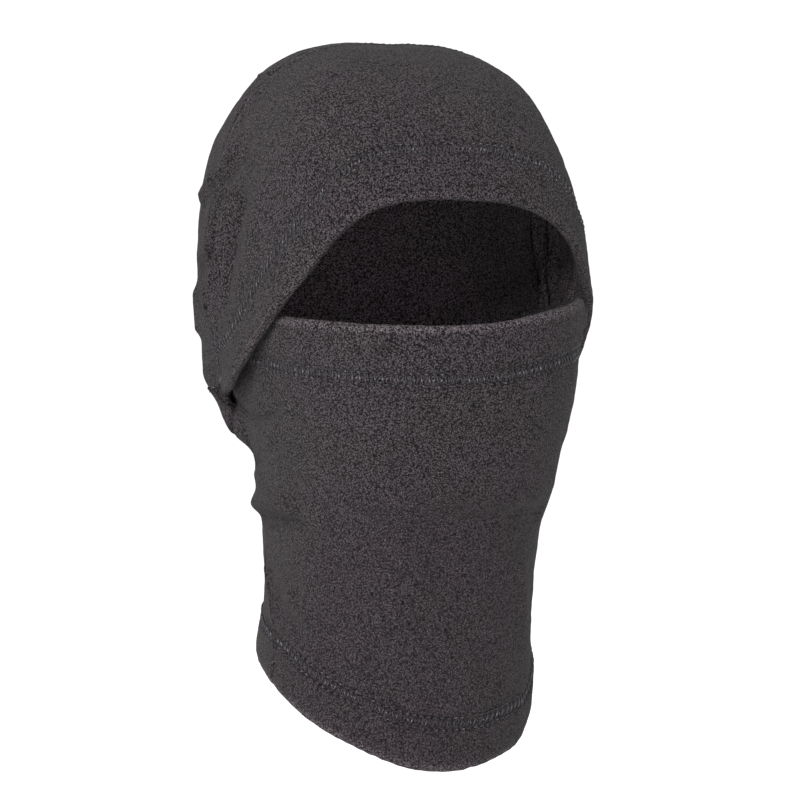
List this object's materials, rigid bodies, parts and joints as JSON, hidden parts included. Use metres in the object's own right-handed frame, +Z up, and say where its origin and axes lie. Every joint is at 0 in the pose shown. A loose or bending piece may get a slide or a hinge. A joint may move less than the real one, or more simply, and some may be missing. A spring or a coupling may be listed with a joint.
{
  "type": "balaclava",
  "caption": "Hinged fleece balaclava: rounded hood with a face opening, pull-down mask over the nose, and a neck tube with a slanted hem.",
  "frame": {"origin": "middle of the neck opening, level with the lowest point of the front hem, where the worn piece meets the wearer", "axes": "+Z up to the crown, -Y towards the face, -X towards the wearer's right"},
  "size_m": [0.1852, 0.2228, 0.3505],
  "materials": {
    "fleece": "matt microfleece with a short pilled nap",
    "fleece_inside": "matt inner face of the microfleece",
    "thread": "slightly shiny spun sewing thread"
  },
  "bodies": {
    "neck": {"neck_front_panel": "fleece", "neck_back_panel": "fleece", "bottom_hem_turnback": "fleece_inside", "bottom_hem_needle_upper": "thread", "bottom_hem_needle_lower": "thread", "bottom_hem_looper": "thread", "side_seam_right": "fleece_inside", "side_seam_left": "fleece_inside"},
    "mask": {"mask_panel": "fleece", "nose_hem_turnback": "fleece_inside", "nose_hem_needle_upper": "thread", "nose_hem_needle_lower": "thread", "nose_hem_looper": "thread"},
    "hood": {"hood_front_panel": "fleece", "hood_back_panel": "fleece", "face_hem_turnback": "fleece_inside", "face_hem_needle_upper": "thread", "face_hem_needle_lower": "thread", "face_hem_looper": "thread", "crown_seam_allowance": "fleece_inside", "crown_topstitch": "thread", "bar_tack_right": "thread", "bar_tack_left": "thread"}
  },
  "joints": [
    {"name": "mask_pull_down", "type": "hinge", "parent": "neck", "child": "mask", "pos_m": [0, 0.022, 0.165], "axis": [1, 0, 0], "range_deg": [0, 35]},
    {"name": "hood_push_back", "type": "hinge", "parent": "neck", "child": "hood", "pos_m": [0, 0.022, 0.165], "axis": [-1, 0, 0], "range_deg": [0, 40]}
  ]
}
